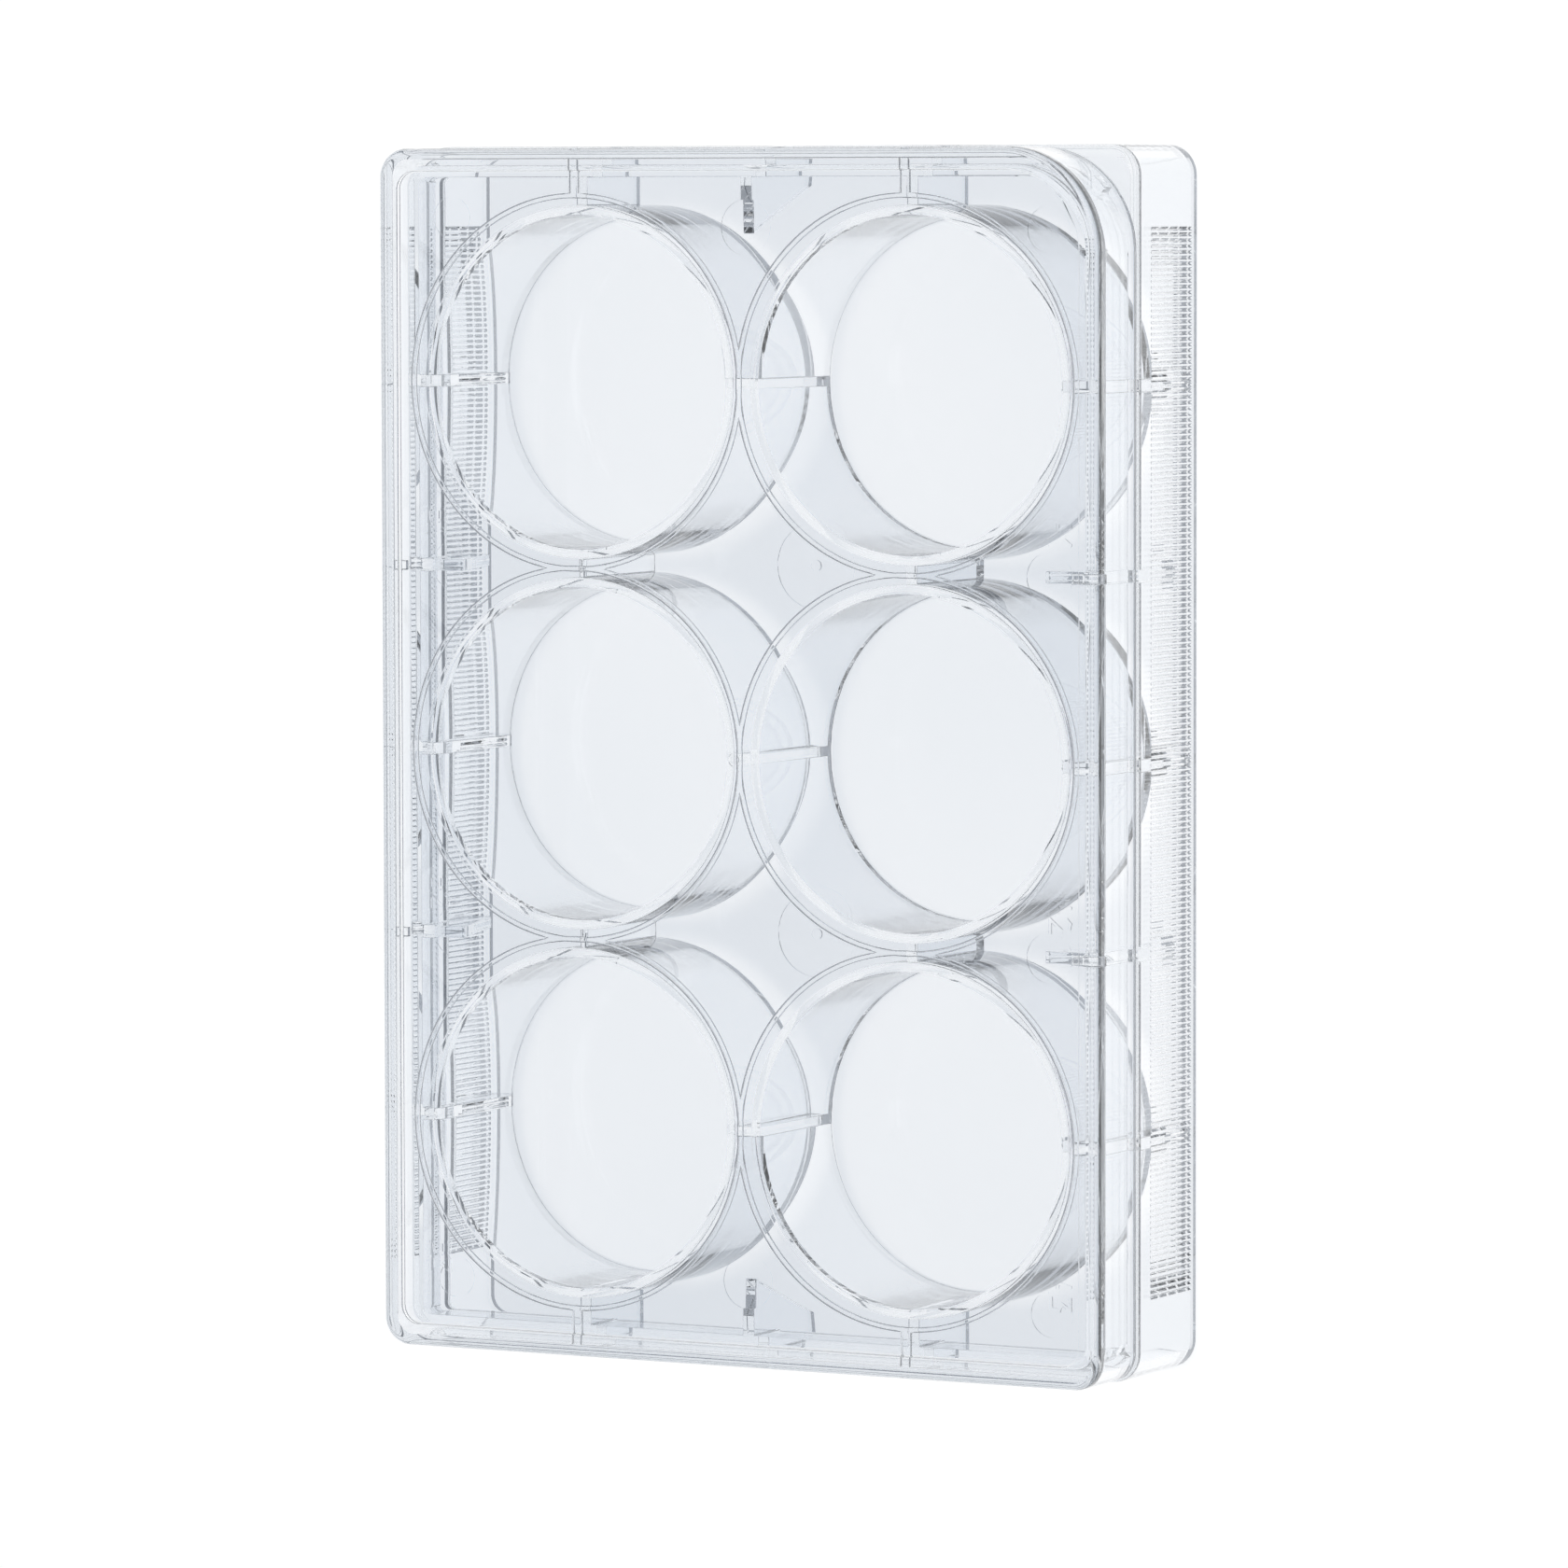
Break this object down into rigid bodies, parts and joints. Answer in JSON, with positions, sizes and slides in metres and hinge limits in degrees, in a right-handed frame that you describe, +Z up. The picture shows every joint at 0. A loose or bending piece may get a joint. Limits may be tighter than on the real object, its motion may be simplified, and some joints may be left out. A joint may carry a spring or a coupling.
{
  "type": "six-well culture plate",
  "caption": "Clear plastic cell-culture well plate with round flat-bottomed wells, a ribbed base flange, a keyed corner and a loose lid",
  "frame": {"origin": "centre of the footprint, on the plane the plate stands on", "axes": "+Z up out of the wells, +Y along the long side, +X along the short side, the keyed corner at +X +Y"},
  "size_m": [0.0854, 0.1278, 0.0229],
  "materials": {
    "plate": "clear, glossy",
    "lid": "clear, glossy"
  },
  "bodies": {
    "root": {"well_plate": "plate", "lid": "lid"}
  },
  "joints": []
}
